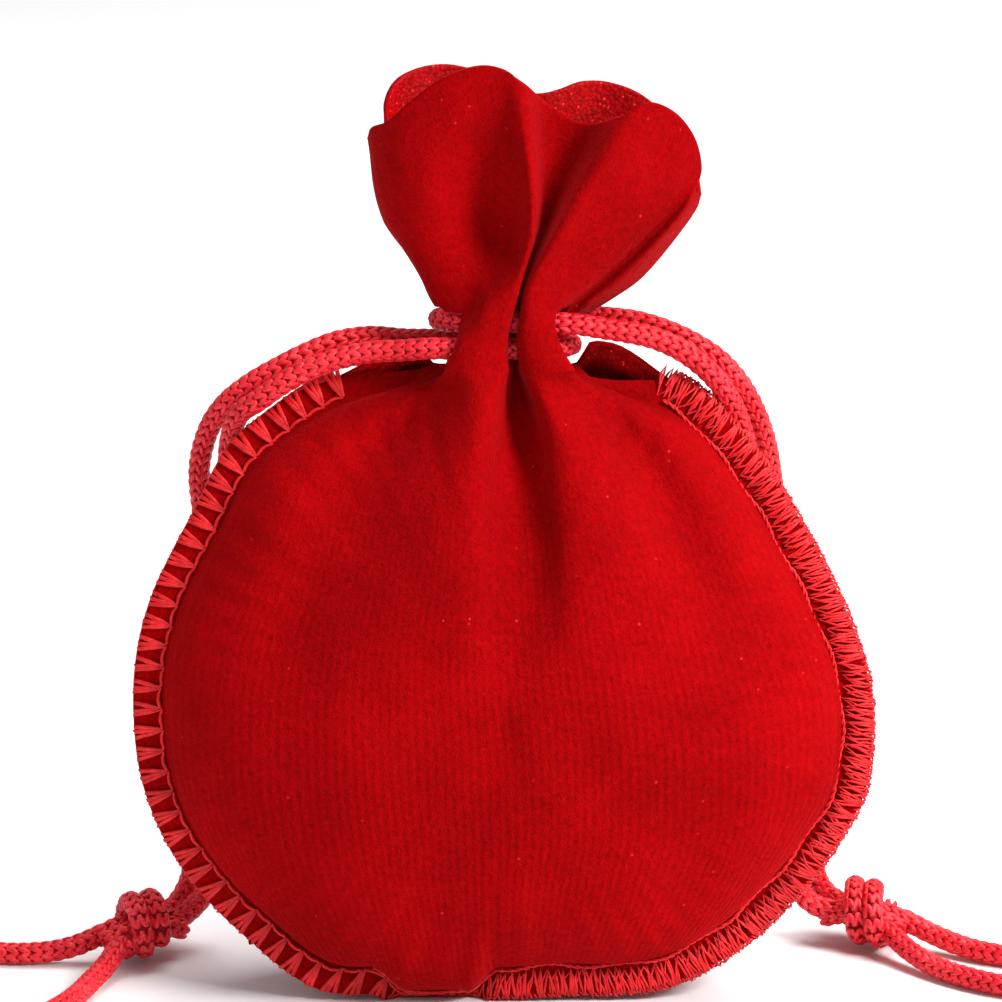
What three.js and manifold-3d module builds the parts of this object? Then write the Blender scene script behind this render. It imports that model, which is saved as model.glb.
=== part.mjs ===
// Drawstring gift pouch in velvet, drawn shut, in millimetres.
// +X is to the right, +Y to the back, +Z up. The origin is on the table under the middle of the pouch.
import * as THREE from "three";
import { mergeVertices } from "three/addons/utils/BufferGeometryUtils.js";
import Module from "manifold-3d";

const wasm = await Module();
wasm.setup();

// Driving dimensions
const seamRadius = 40; // outer edge of the overlocked seam round the body
const leanAngle = 8; // the filled body leans back by this many degrees
const seamFootY = -7.3; // where the seam plane meets the table
const seamAllowance = 3.4; // width of the overlocked border
const velvetThickness = 0.8;
const fitGap = 0.3; // between pieces that touch
const frontBulge = 14;
const backBulge = 18.4;
const basePress = 14; // how far the filled back is pressed down where it rests
const basePressReach = 30; // height at which the press dies out
const neckStep = 0.13; // the body has turned into the gathered neck this far above its shoulders
const neckHalfWidth = 5.2; // outside of the gathered neck inside the cords
const neckHalfDepth = 4;
const shoulderDrop = 5.5; // height over which the body turns into the neck
const shoulderFillet = 2; // width over which the border runs out beside the neck
const cordDiameter = 2.4;
const pleatWidth = 5;
const pleatSpacing = 6.4; // between the middles of a panel's two pleats
const pleatRounding = 0.5; // how far a pleat's edges turn in
const hingeGap = 0.5; // between the neck and the frill that folds out above it
const frillHeight = 25;
const frillHalfWidth = 20;
const frillDepth = 9;
const threadDiameter = 0.5;
const stitchPitch = 4; // the thread crosses the border out and back in this length
const seamStart = 61; // angle on the right shoulder where the overlock begins
const seamEnd = 119; // and on the left shoulder where it ends, after going round under the body
const knotRadius = 4;

// Shape of the border's outer edge, as shares of the seam radius
const footShare = 0.855; // under the body
const shoulderShare = 0.9; // at the shoulders, between which the neck begins
const shoulderAngle = 75; // the right shoulder's angle round the body's middle

// Fits, worked out from the sizes above
const centreHeight = footShare * seamRadius + fitGap; // middle of the round body, up the seam plane
const shoulderRise = shoulderShare * seamRadius * Math.sin(THREE.MathUtils.degToRad(shoulderAngle));
const neckFoot = centreHeight + shoulderRise + neckStep;
const cordRadius = cordDiameter / 2;
const halfGap = fitGap / 2;
const lowerLoopHeight = neckFoot + 2 * fitGap + cordRadius;
const upperLoopHeight = lowerLoopHeight + cordDiameter + fitGap;
const collarFoot = upperLoopHeight + cordRadius + fitGap;
const neckTop = collarFoot + velvetThickness;
const frillFoot = neckTop + hingeGap;
const channelHalfWidth = neckHalfWidth + cordDiameter + 2 * fitGap; // inside of what bridges the cords
const channelHalfDepth = halfGap + neckHalfDepth + cordDiameter + 2 * fitGap;
const borderFace = halfGap + velvetThickness; // outer face of the border, from the seam plane

// The border's outer edge: angle round the body's middle, and radius as a share of the seam radius.
const edgeShape = [
  [-95, footShare], [-80, 0.865], [-65, 0.925], [-50, 0.965], [-30, 0.98], [-10, 1], [5, 0.99], [20, 0.93],
  [35, 0.91], [48, 0.915], [60, 0.945], [68, 0.935], [shoulderAngle, shoulderShare], [90, 0.93],
  [180 - shoulderAngle, shoulderShare], [112, 0.945], [120, 0.975], [135, 0.98], [155, 1], [180, 1],
  [200, 0.985], [220, 0.96], [235, 0.93], [248, 0.905], [265, footShare], [280, 0.865],
];

const velvet = new THREE.MeshStandardMaterial({ color: 0xb30910, roughness: 0.95, metalness: 0 });
const cordYarn = new THREE.MeshStandardMaterial({ color: 0xe0283f, roughness: 0.6, metalness: 0 });
const seamThread = new THREE.MeshStandardMaterial({ color: 0xe3222c, roughness: 0.5, metalness: 0 });

const pouch = new THREE.Group();

function addPart(name, geometry, material) {
  const mesh = new THREE.Mesh(geometry, material);
  mesh.name = name;
  pouch.add(mesh);
}

// A place on the leaning pouch: x, height up the seam plane, depth in front of the seam plane.
function onPouch(x, height, depth) {
  const lean = THREE.MathUtils.degToRad(leanAngle);
  const y = seamFootY + height * Math.sin(lean) - depth * Math.cos(lean);
  const z = height * Math.cos(lean) + depth * Math.sin(lean);
  return new THREE.Vector3(x, y, z);
}

const edgeCurve = new THREE.CubicInterpolant(
  edgeShape.map((row) => row[0]),
  edgeShape.map((row) => row[1] * seamRadius),
  1,
);

function edgeRadius(angle) {
  const turned = angle > 270 ? angle - 360 : angle;
  return edgeCurve.evaluate(turned)[0];
}

function onEdge(angle, inset) {
  const radius = edgeRadius(angle) - inset;
  const radians = THREE.MathUtils.degToRad(angle);
  return new THREE.Vector2(radius * Math.cos(radians), centreHeight + radius * Math.sin(radians));
}

// How far the panel's outer face is from the seam plane: the border, a dome, and then the neck tube.
function panelDepth(x, height, bulge) {
  const up = height - centreHeight;
  const angle = THREE.MathUtils.radToDeg(Math.atan2(up, x));
  const turned = angle < -90 ? angle + 360 : angle;
  const throat = up > 0 ? 6 * Math.exp(-((x / 7) ** 2)) : 0;
  const inset = edgeRadius(turned) - Math.hypot(x, up) - seamAllowance + throat;
  const share = THREE.MathUtils.clamp(inset / (seamRadius - seamAllowance), 0, 1);
  const dome = bulge * (1 - (1 - share) ** 2) ** 0.55;
  const across = THREE.MathUtils.clamp(x / neckHalfWidth, -1, 1);
  const beside = THREE.MathUtils.smoothstep(Math.abs(x), neckHalfWidth, neckHalfWidth + shoulderFillet);
  const tube = neckHalfDepth * Math.sqrt(1 - across ** 2) + velvetThickness * beside;
  const turn = THREE.MathUtils.smoothstep(height, neckFoot - shoulderDrop, neckFoot);
  return THREE.MathUtils.lerp(borderFace + dome, halfGap + tube, turn);
}

// The panel laid flat: u across, v up. A border column and row run round the body, and the neck is on top.
const columns = 18;
const bodyRows = 18;
const neckRows = 4;

function panelPlace(u, v) {
  const row = v * (bodyRows + neckRows);
  const neckX = -neckHalfWidth * Math.cos(Math.PI * u);
  const rise = Math.max(row - bodyRows, 0) / neckRows;
  const neck = new THREE.Vector2(neckX, THREE.MathUtils.lerp(neckFoot, neckTop, rise));
  const up = THREE.MathUtils.clamp((row - 1) / (bodyRows - 2), 0, 1);
  const across = THREE.MathUtils.clamp((u * columns - 1) / (columns - 2), 0, 1);
  const outside = THREE.MathUtils.clamp(Math.max(1 - row, 1 - u * columns, 1 - (1 - u) * columns), 0, 1);
  const left = onEdge(THREE.MathUtils.lerp(225, 180 - shoulderAngle, up), seamAllowance);
  const right = onEdge(THREE.MathUtils.lerp(-45, shoulderAngle, up), seamAllowance);
  const bottom = onEdge(THREE.MathUtils.lerp(225, 315, across), seamAllowance);
  const topLeft = onEdge(180 - shoulderAngle, seamAllowance);
  const topRight = onEdge(shoulderAngle, seamAllowance);
  const top = topLeft.clone().lerp(topRight, across);
  const cornerLeft = onEdge(225, seamAllowance).lerp(topLeft, up);
  const cornerRight = onEdge(-45, seamAllowance).lerp(topRight, up);
  const spot = left.lerp(right, across).add(bottom.lerp(top, up)).sub(cornerLeft.lerp(cornerRight, across));
  const centre = new THREE.Vector2(0, centreHeight);
  const radial = spot.clone().sub(centre).normalize();
  spot.addScaledVector(radial, outside * seamAllowance);
  return spot.lerp(neck, THREE.MathUtils.clamp(row - (bodyRows - 1), 0, 1));
}

// A closed sheet: u across, v up, and side 1 on its outer face, 0 on its inner face.
function sheet(columns, rows, place) {
  const geometry = new THREE.BoxGeometry(1, 1, 1, columns, rows, 1);
  const corners = geometry.getAttribute("position");
  for (let i = 0; i < corners.count; i += 1) {
    const spot = place(corners.getX(i) + 0.5, corners.getY(i) + 0.5, corners.getZ(i) + 0.5);
    corners.setXYZ(i, spot.x, spot.y, spot.z);
  }
  return geometry;
}

// Stands the inner face one velvet thickness inside a surface that is given by its outer face.
function velvetSheet(columns, rows, surface) {
  const step = 0.004;
  return sheet(columns, rows, (u, v, side) => {
    const spot = surface(u, v);
    if (side > 0.5) {
      return spot;
    }
    const across = surface(Math.min(u + step, 1), v).sub(surface(Math.max(u - step, 0), v));
    const along = surface(u, Math.min(v + step, 1)).sub(surface(u, Math.max(v - step, 0)));
    const outward = across.cross(along).normalize();
    return spot.addScaledVector(outward, -velvetThickness);
  });
}

function toSolid(geometry) {
  const bare = geometry.clone();
  bare.deleteAttribute("normal");
  bare.deleteAttribute("uv");
  const merged = mergeVertices(bare, 1e-4);
  const vertProperties = merged.getAttribute("position").array;
  const triVerts = new Uint32Array(merged.getIndex().array);
  const mesh = new wasm.Mesh({ numProp: 3, vertProperties, triVerts });
  mesh.merge();
  return new wasm.Manifold(mesh);
}

function toGeometry(solid) {
  const mesh = solid.getMesh();
  const geometry = new THREE.BufferGeometry();
  geometry.setAttribute("position", new THREE.BufferAttribute(mesh.vertProperties, 3));
  geometry.setIndex(new THREE.BufferAttribute(mesh.triVerts, 1));
  return geometry;
}

function tube(points, radius, steps, sides) {
  const section = new THREE.Shape();
  for (let i = 0; i < sides; i += 1) {
    const angle = (2 * Math.PI * (i + 0.5)) / sides;
    const spot = [radius * Math.cos(angle), radius * Math.sin(angle)];
    if (i === 0) {
      section.moveTo(...spot);
    } else {
      section.lineTo(...spot);
    }
  }
  const path = new THREE.CatmullRomCurve3(points, false, "centripetal");
  return new THREE.ExtrudeGeometry(section, { extrudePath: path, steps, curveSegments: 1 });
}

// The panel's skin: side is 1 for the front and -1 for the back. Where the back rests it is pressed flat.
function panelSkin(side, bulge) {
  const step = 0.02;
  return (u, v, face) => {
    const across = side > 0 ? u : 1 - u;
    const flat = panelPlace(across, v);
    const depth = panelDepth(flat.x, flat.y, bulge);
    const slopeX = (panelDepth(flat.x + step, flat.y, bulge) - panelDepth(flat.x - step, flat.y, bulge)) / (2 * step);
    const slopeUp = (depth - panelDepth(flat.x, flat.y - step, bulge)) / step;
    const outward = new THREE.Vector3(-slopeX, -slopeUp, 1).normalize();
    const sunk = face > 0.5 ? 0 : velvetThickness;
    const x = flat.x - outward.x * sunk;
    const height = flat.y - outward.y * sunk;
    const inFront = side * (depth - outward.z * sunk);
    const spot = onPouch(x, height, inFront);
    if (side < 0) {
      const behind = THREE.MathUtils.smoothstep(depth, borderFace, 7);
      spot.z -= basePress * behind * (1 - THREE.MathUtils.smoothstep(spot.z, 0, basePressReach));
      spot.z = Math.max(spot.z, sunk);
    }
    return spot;
  };
}

// A pleat starts on the body below the cords, passes outside them and ends at the collar.
function pleat(side, bulge, middle) {
  const foot = neckFoot - 9;
  const outside = channelHalfDepth + velvetThickness;
  const rise = new THREE.SplineCurve([
    new THREE.Vector2(foot, panelDepth(middle, foot, bulge) - halfGap),
    new THREE.Vector2(neckFoot - 5, Math.max(panelDepth(middle, neckFoot - 5, bulge) + halfGap, outside)),
    new THREE.Vector2(neckFoot, outside + 0.6),
    new THREE.Vector2((neckFoot + neckTop) / 2, outside + 0.5),
    new THREE.Vector2(neckTop, outside),
  ]);
  return velvetSheet(4, 8, (u, v) => {
    const across = side > 0 ? u - 0.5 : 0.5 - u;
    const spot = rise.getPoint(v);
    const rounding = pleatRounding * (2 * across) ** 2;
    return onPouch(middle + across * pleatWidth, spot.x, side * (spot.y - rounding));
  });
}

// The collar closes the channel above the cords, from the neck tube out to the pleats.
function collar(side) {
  return sheet(16, 1, (u, v, face) => {
    const angle = Math.PI * (side > 0 ? 1 - u : u);
    const reach = v < 0.5 ? 0 : 1;
    const inner = new THREE.Vector2(neckHalfWidth - velvetThickness / 2, neckHalfDepth - velvetThickness / 2);
    const outer = new THREE.Vector2(channelHalfWidth, channelHalfDepth + velvetThickness / 2);
    const x = THREE.MathUtils.lerp(inner.x, outer.x, reach) * Math.cos(angle);
    const depth = THREE.MathUtils.lerp(inner.y, outer.y, reach) * Math.sin(angle) + halfGap;
    return onPouch(x, face > 0.5 ? collarFoot : neckTop, side * depth);
  });
}

function panel(side, bulge) {
  let solid = toSolid(sheet(columns, bodyRows + neckRows, panelSkin(side, bulge)));
  solid = solid.add(toSolid(collar(side)));
  for (const middle of [-pleatSpacing / 2, pleatSpacing / 2]) {
    solid = solid.add(toSolid(pleat(side, bulge, middle)));
  }
  return toGeometry(solid);
}

addPart("front_panel", panel(1, frontBulge), velvet);
addPart("back_panel", panel(-1, backBulge), velvet);

// The frill above the cords: half a tube at its foot, a waist, and open petals at its rim.
// Each row is x, height over the frill's foot and depth off the seam plane, as shares of the frill's sizes.
const frontWaist = [
  [-0.49, 0.32, 0.05], [-0.4, 0.32, 0.5], [-0.2, 0.32, 0.82], [0.05, 0.32, 0.74], [0.22, 0.32, 0.64],
  [0.42, 0.32, 0.6], [0.6, 0.32, 0.05],
];
const frontRim = [
  [-0.73, 0.68, 0.07], [-0.62, 0.75, 0.55], [-0.42, 0.88, 0.95], [-0.08, 0.985, 0.98], [0.16, 0.865, 0.6],
  [0.35, 0.745, 0.48], [0.62, 0.81, 0.7], [0.87, 0.8, 0.73], [1.02, 0.6, 0.07],
];
const backWaist = [
  [-0.49, 0.32, 0.05], [-0.4, 0.32, 0.5], [-0.18, 0.32, 0.8], [0.08, 0.32, 0.7], [0.28, 0.32, 0.76],
  [0.5, 0.32, 0.56], [0.63, 0.32, 0.05],
];
const backRim = [
  [-0.6, 0.75, 0.07], [-0.62, 0.95, 0.55], [-0.47, 1.01, 0.9], [-0.2, 1.02, 0.95], [0.02, 0.95, 0.7],
  [0.25, 0.92, 0.75], [0.42, 0.97, 0.93], [0.62, 0.94, 0.9], [0.8, 0.86, 0.75], [0.98, 0.68, 0.4],
  [1.04, 0.49, 0.07],
];

function frillCurve(rows, side) {
  const spots = rows.map(([x, height, depth]) => {
    return onPouch(x * frillHalfWidth, frillFoot + height * frillHeight, side * depth * frillDepth);
  });
  return new THREE.CatmullRomCurve3(spots, false, "centripetal");
}

function frill(side, waistRows, rimRows) {
  const waist = frillCurve(waistRows, side);
  const rim = frillCurve(rimRows, side);
  const halfWidth = channelHalfWidth + velvetThickness / 2;
  const halfDepth = channelHalfDepth + velvetThickness;
  return velvetSheet(20, 8, (u, v) => {
    const across = side > 0 ? u : 1 - u;
    const x = -halfWidth * Math.cos(Math.PI * across);
    const foot = onPouch(x, frillFoot, side * (halfDepth * Math.sin(Math.PI * across) + halfGap));
    return new THREE.CatmullRomCurve3([foot, waist.getPoint(across), rim.getPoint(across)]).getPoint(v);
  });
}

addPart("front_frill", frill(1, frontWaist, frontRim), velvet);
addPart("back_frill", frill(-1, backWaist, backRim), velvet);

// Overlock stitching on the border: one looper thread on each face, and the needle thread that holds them.
const threadRadius = threadDiameter / 2;
const threadLift = borderFace + fitGap + threadRadius;
const seamSweep = 360 - seamEnd + seamStart;
const seamLength = THREE.MathUtils.degToRad(seamSweep) * seamRadius;
const stitchCount = Math.round(seamLength / stitchPitch);

function seamPlace(share, inset, depth) {
  const angle = seamEnd + share * seamSweep;
  const spot = onEdge(angle > 270 ? angle - 360 : angle, inset);
  return onPouch(spot.x, spot.y, depth);
}

function looperThread(side) {
  const points = [];
  const inner = seamAllowance - threadDiameter - fitGap;
  for (let i = 0; i <= 2 * stitchCount; i += 1) {
    const inset = i % 2 === 0 ? inner : threadRadius;
    points.push(seamPlace(i / (2 * stitchCount), inset, side * threadLift));
  }
  return tube(points, threadRadius, 2 * stitchCount, 4);
}

addPart("front_looper_thread", looperThread(1), seamThread);
addPart("back_looper_thread", looperThread(-1), seamThread);

function needleThread() {
  const points = [];
  const inset = seamAllowance - threadDiameter - fitGap;
  const lift = threadLift + threadDiameter + fitGap;
  for (let i = 0; i <= stitchCount; i += 1) {
    points.push(seamPlace(i / stitchCount, inset, lift));
  }
  return tube(points, threadRadius, stitchCount, 4);
}

addPart("needle_thread", needleThread(), seamThread);

// The drawcords. Each one goes round the neck under the pleats, leaves it on its own side, runs over the
// shoulder and down behind the body, and its two strands meet in a knot on the table, which leaves two tails.
// A route's points are chosen by hand along the real cord: [x, y, z].
const leftRoutes = {
  loop: [
    [-4.7, -3, 71.4], [-2.9, -3.1, 71.4], [0, -3, 71.4], [3.2, -2.4, 71.3], [5.6, -0.7, 71], [6.9, 1.5, 70.8],
    [6.9, 3.8, 70.4], [5.6, 6, 70.1], [3.2, 7.6, 69.9], [0, 8.3, 69.8], [-2.9, 8.3, 69.8], [-4.7, 8.3, 69.8],
  ],
  front_strand: [
    [-5.1, -3, 71.4], [-8, -2.6, 71.3], [-11, -1.8, 70.9], [-14.5, -0.9, 70.5], [-18, -0.3, 69.6],
    [-21.2, -0.1, 68.3], [-24, 0.2, 66.7], [-26.3, 0.8, 64.9], [-28.5, 2.3, 63.1], [-29.5, 4.3, 60.3],
    [-29.9, 5.8, 57], [-29.8, 8.3, 51.8], [-29.8, 10.2, 45.5], [-30.1, 11.1, 37.8], [-30.6, 11.2, 29.7],
    [-31.1, 11.3, 21.6], [-31.6, 11.6, 14], [-32.2, 11.9, 9.2], [-33.6, 11.4, 5.9], [-35.3, 10, 4.3],
    [-36.6, 8.9, 3.9],
  ],
  back_strand: [
    [-5.1, 8.3, 69.8], [-8, 7.8, 70], [-11, 6.6, 70.3], [-14.5, 5.1, 70.9], [-18, 3.6, 70.7], [-21.2, 3.3, 69.5],
    [-24.2, 3.6, 67.9], [-27.4, 4.2, 65.9], [-30.2, 5.2, 63.4], [-32.2, 6.8, 60], [-33.3, 8.8, 55.1],
    [-33, 10.6, 49], [-32.8, 11.9, 41.7], [-33.2, 12.6, 34.1], [-33.7, 12.9, 25.9], [-34.2, 13.1, 18.3],
    [-34.6, 13.5, 11.2], [-35.2, 13.6, 7], [-36.9, 12.7, 4.2], [-38.9, 10.9, 3.6],
  ],
  knot: [-40.3, 6.5, 4.1],
  upper_tail: [
    [-44.6, 5.6, 3.2], [-47, 5.2, 2.2], [-50, 4.9, 1.5], [-54, 4.7, 1.3], [-58, 5.6, 1.3], [-61.8, 7.8, 1.3],
    [-64.6, 11.2, 1.3], [-66.2, 15.2, 1.3], [-66.8, 19.5, 1.3],
  ],
  lower_tail: [
    [-42.4, 2.6, 3], [-43.6, -1, 1.9], [-45, -5, 1.4], [-46.2, -9.2, 1.3], [-48, -13.5, 1.3], [-50.6, -17.4, 1.3],
    [-54, -20.6, 1.3], [-58, -22.8, 1.3], [-62.2, -24, 1.3],
  ],
};
const rightRoutes = {
  loop: [
    [4.7, -2.7, 74.1], [2.9, -2.7, 74.2], [0, -2.7, 74.1], [-3.2, -2, 74], [-5.6, -0.3, 73.8], [-6.9, 1.9, 73.5],
    [-6.9, 4.2, 73.1], [-5.6, 6.4, 72.8], [-3.2, 8, 72.6], [0, 8.7, 72.5], [2.9, 8.7, 72.5], [4.7, 8.7, 72.5],
  ],
  front_strand: [
    [5.1, -2.7, 74.1], [7.6, -2.4, 73.9], [10.2, -1.6, 73.3], [13, -0.9, 72.7], [15.8, -0.2, 71.9],
    [18.5, 0.3, 70.6], [20.9, 0.9, 68.8], [22.9, 1.7, 66.6], [24.5, 2.9, 63.8], [25.6, 4.4, 60.6],
    [26.3, 6.5, 56.6], [26.9, 8.9, 50.7], [27.7, 10.6, 43.9], [28.7, 11.2, 36.3], [29.7, 11.4, 28.2],
    [30.6, 11.5, 20.1], [31.4, 11.8, 12.5], [32, 12.4, 8.3], [33.4, 12.6, 5.4], [34.9, 12.2, 4.3], [36, 11.9, 4.1],
  ],
  back_strand: [
    [5.1, 8.7, 72.5], [7.8, 8.2, 72.6], [10.8, 7, 72.6], [14, 5.6, 72.5], [17.2, 4.4, 71.8], [20.2, 3.9, 70.5],
    [22.9, 4.2, 68.6], [25.2, 5, 65.9], [27, 6.1, 62.5], [28.3, 7.6, 58.7], [29.2, 9.6, 53.5], [30.1, 11.4, 46.9],
    [31.1, 12.5, 39.1], [32.2, 13.1, 31], [33.1, 13.2, 22.9], [33.8, 13.3, 15.3], [34.3, 14.2, 10.5],
    [35, 15.4, 6.6], [36.4, 16, 4.4], [38, 15.2, 3.7],
  ],
  knot: [40.3, 11, 4.1],
  upper_tail: [
    [44.6, 10.4, 3.3], [47.4, 9, 2.2], [50.4, 7, 1.5], [53.4, 4.9, 1.3], [57.3, 3.3, 1.3], [61.6, 3.4, 1.3],
    [65.4, 5.4, 1.3], [68, 8.9, 1.3], [69, 13, 1.3],
  ],
  lower_tail: [
    [42.6, 7.1, 3], [44.6, 3.6, 2], [47.2, 0, 1.4], [50.2, -3.2, 1.3], [53.6, -5.8, 1.3], [57.6, -7.6, 1.3],
    [62, -8.2, 1.3], [66.3, -7.4, 1.3], [70, -5, 1.3],
  ],
};

function cordPart(name, route, stepLength) {
  const points = route.map((row) => new THREE.Vector3(...row));
  const length = new THREE.CatmullRomCurve3(points, false, "centripetal").getLength();
  addPart(name, tube(points, cordRadius, Math.ceil(length / stepLength), 8), cordYarn);
}

function drawcord(side, routes) {
  cordPart(`${side}_cord_loop`, routes.loop, cordDiameter);
  for (const stretch of ["front_strand", "back_strand", "upper_tail", "lower_tail"]) {
    cordPart(`${side}_cord_${stretch}`, routes[stretch], 2 * cordDiameter);
  }
  const knot = new THREE.SphereGeometry(knotRadius, 14, 10);
  knot.translate(...routes.knot);
  addPart(`${side}_cord_knot`, knot, cordYarn);
}

drawcord("left", leftRoutes);
drawcord("right", rightRoutes);

export default pouch;
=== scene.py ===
import math
import random

import bmesh
import bpy
from mathutils import Matrix, Vector, noise
from mathutils.kdtree import KDTree


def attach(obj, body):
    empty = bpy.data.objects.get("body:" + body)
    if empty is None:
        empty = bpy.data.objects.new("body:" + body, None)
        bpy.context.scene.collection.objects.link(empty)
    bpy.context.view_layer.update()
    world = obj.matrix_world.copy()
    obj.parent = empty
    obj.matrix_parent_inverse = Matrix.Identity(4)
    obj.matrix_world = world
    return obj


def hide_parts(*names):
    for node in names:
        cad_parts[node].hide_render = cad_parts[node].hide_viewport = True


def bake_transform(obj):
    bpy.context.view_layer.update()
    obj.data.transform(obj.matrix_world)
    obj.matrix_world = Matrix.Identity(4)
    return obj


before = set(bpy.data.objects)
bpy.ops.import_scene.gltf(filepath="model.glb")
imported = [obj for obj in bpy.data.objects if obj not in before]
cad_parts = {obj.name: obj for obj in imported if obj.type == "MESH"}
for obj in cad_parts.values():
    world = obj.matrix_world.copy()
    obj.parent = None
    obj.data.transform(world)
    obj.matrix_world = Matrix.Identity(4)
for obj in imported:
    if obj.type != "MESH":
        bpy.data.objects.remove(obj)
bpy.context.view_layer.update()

mm = 0.001


cameraSetup = {
    "elevation": 14,  # degrees above the table
    "distance": 0.6,
    "target": (-0.00043, 0.00028, 0.0539),
    "lens": 200.7,
    "sensor": 36,
}


def addCamera(setup):
    camera = bpy.data.objects.new("camera", bpy.data.cameras.new("camera"))
    bpy.context.scene.collection.objects.link(camera)
    tilt = math.radians(setup["elevation"])
    away = Vector((0, -math.cos(tilt), math.sin(tilt))) * setup["distance"]
    camera.location = Vector(setup["target"]) + away
    camera.rotation_euler = (math.pi / 2 - tilt, 0, 0)
    camera.data.lens = setup["lens"]
    camera.data.sensor_width = setup["sensor"]
    bpy.context.scene.camera = camera


addCamera(cameraSetup)


def newMaterial(name, values):
    # fixed values go straight on the shader's own sockets
    material = bpy.data.materials.new(name)
    material.use_nodes = True
    shader = material.node_tree.nodes["Principled BSDF"]
    for socket, value in values.items():
        shader.inputs[socket].default_value = value
    return material, material.node_tree, shader


def addNode(tree, kind, inputs=None, **settings):
    node = tree.nodes.new(kind)
    for key, value in settings.items():
        setattr(node, key, value)
    for key, value in (inputs or {}).items():
        if isinstance(value, bpy.types.NodeSocket):
            tree.links.new(value, node.inputs[key])
        else:
            node.inputs[key].default_value = value
    return node


def addRamp(tree, factor, stops):
    node = addNode(tree, "ShaderNodeValToRGB", {"Fac": factor})
    elements = node.color_ramp.elements
    while len(elements) < len(stops):
        elements.new(0.5)
    for element, (place, colour) in zip(elements, stops):
        element.position = place
        element.color = (*colour, 1)
    return node.outputs["Color"]


def mixColour(tree, factor, first, second, blendType="MIX"):
    node = addNode(tree, "ShaderNodeMix", data_type="RGBA", blend_type=blendType)
    for index, value in ((0, factor), (6, first), (7, second)):
        if isinstance(value, bpy.types.NodeSocket):
            tree.links.new(value, node.inputs[index])
        else:
            node.inputs[index].default_value = value
    return node.outputs[2]


def weigh(tree, terms):
    # a weighted sum of (socket, weight) pairs
    total = None
    for socket, weight in terms:
        inputs = {0: socket, 1: weight} if total is None else {0: socket, 1: weight, 2: total}
        kind = "MULTIPLY" if total is None else "MULTIPLY_ADD"
        total = addNode(tree, "ShaderNodeMath", inputs, operation=kind).outputs[0]
    return total


def addBumps(tree, shader, layers):
    # each layer is a height, a strength and a depth in metres, one on the other
    normal = None
    for height, strength, depth in layers:
        inputs = {"Height": height, "Strength": strength, "Distance": depth}
        if normal is not None:
            inputs["Normal"] = normal
        normal = addNode(tree, "ShaderNodeBump", inputs).outputs["Normal"]
    tree.links.new(normal, shader.inputs["Normal"])


def noiseOf(tree, spot, scale, detail, roughness=0.5):
    inputs = {"Vector": spot, "Scale": scale, "Detail": detail, "Roughness": roughness}
    return addNode(tree, "ShaderNodeTexNoise", inputs).outputs["Fac"]


velvetLook = {
    "deep": (0.15, 0.0001, 0.0006),
    "middle": (0.27, 0.0003, 0.0011),
    "lit": (0.42, 0.0012, 0.003),
    "lint": (0.55, 0.018, 0.024),
    "ribScale": 26.4,  # a knitted rib every 1.07 mm across a cloth 90 mm wide
    "blotchScale": 55,
    "napScale": 1500,
    "fibreScale": 4800,
    "lintScale": 620,
}


def velvetMaterial(look):
    # crushed pile: nap lying both ways in blotches, faint knitted ribs low down, and specks of lint
    material, tree, shader = newMaterial("red_velvet", {
        "Roughness": 0.9,
        "Sheen Weight": 0.3,
        "Sheen Roughness": 0.28,
        "Sheen Tint": (1.0, 0.04, 0.05, 1),
        "Specular IOR Level": 0.03,
    })
    place = addNode(tree, "ShaderNodeTexCoord")
    spot = place.outputs["Object"]
    blotch = noiseOf(tree, spot, look["blotchScale"], 3, 0.55)
    nap = noiseOf(tree, spot, look["napScale"], 3, 0.75)
    fibre = noiseOf(tree, spot, look["fibreScale"], 2, 0.6)
    rib = addNode(tree, "ShaderNodeTexWave", {
        "Vector": place.outputs["UV"],
        "Scale": look["ribScale"],
        "Distortion": 1.4,
        "Detail": 2,
        "Detail Scale": 0.35,
    }, wave_type="BANDS", bands_direction="X", wave_profile="SIN").outputs["Fac"]
    along = addNode(tree, "ShaderNodeSeparateXYZ", {"Vector": place.outputs["UV"]}).outputs["Y"]
    low = addNode(tree, "ShaderNodeMapRange", {
        "Value": along, "From Min": 0.55, "From Max": 0.25, "To Min": 0.15, "To Max": 1.0,
    }).outputs["Result"]
    ribbed = addNode(tree, "ShaderNodeMath", {0: rib, 1: low}, operation="MULTIPLY").outputs[0]
    height = weigh(tree, [(blotch, 0.45), (nap, 0.38), (fibre, 0.24), (ribbed, 0.04)])
    tone = addRamp(tree, height, [(0.36, look["deep"]), (0.56, look["middle"]), (0.8, look["lit"])])
    cells = addNode(tree, "ShaderNodeTexVoronoi", {"Vector": spot, "Scale": look["lintScale"]})
    speck = addRamp(tree, cells.outputs["Distance"], [(0.04, (1, 1, 1)), (0.12, (0, 0, 0))])
    chosen = addRamp(tree, cells.outputs["Color"], [(0.76, (0, 0, 0)), (0.83, (1, 1, 1))])
    lint = mixColour(tree, 1.0, speck, chosen, "MULTIPLY")
    colour = mixColour(tree, lint, tone, (*look["lint"], 1))
    tree.links.new(colour, shader.inputs["Base Color"])
    addBumps(tree, shader, [
        (ribbed, 0.22, 0.0002), (blotch, 0.3, 0.0012), (nap, 0.7, 0.0003), (fibre, 0.7, 0.00014),
    ])
    return material


liningLook = {
    "deep": (0.2, 0.0002, 0.0008),
    "middle": (0.42, 0.0008, 0.0025),
    # colour of the painted glints on the knit
    "paintedGlint": (0.92, 0.05, 0.06),
    "loopScale": 2500,
    "patchScale": 260,
}


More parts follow.
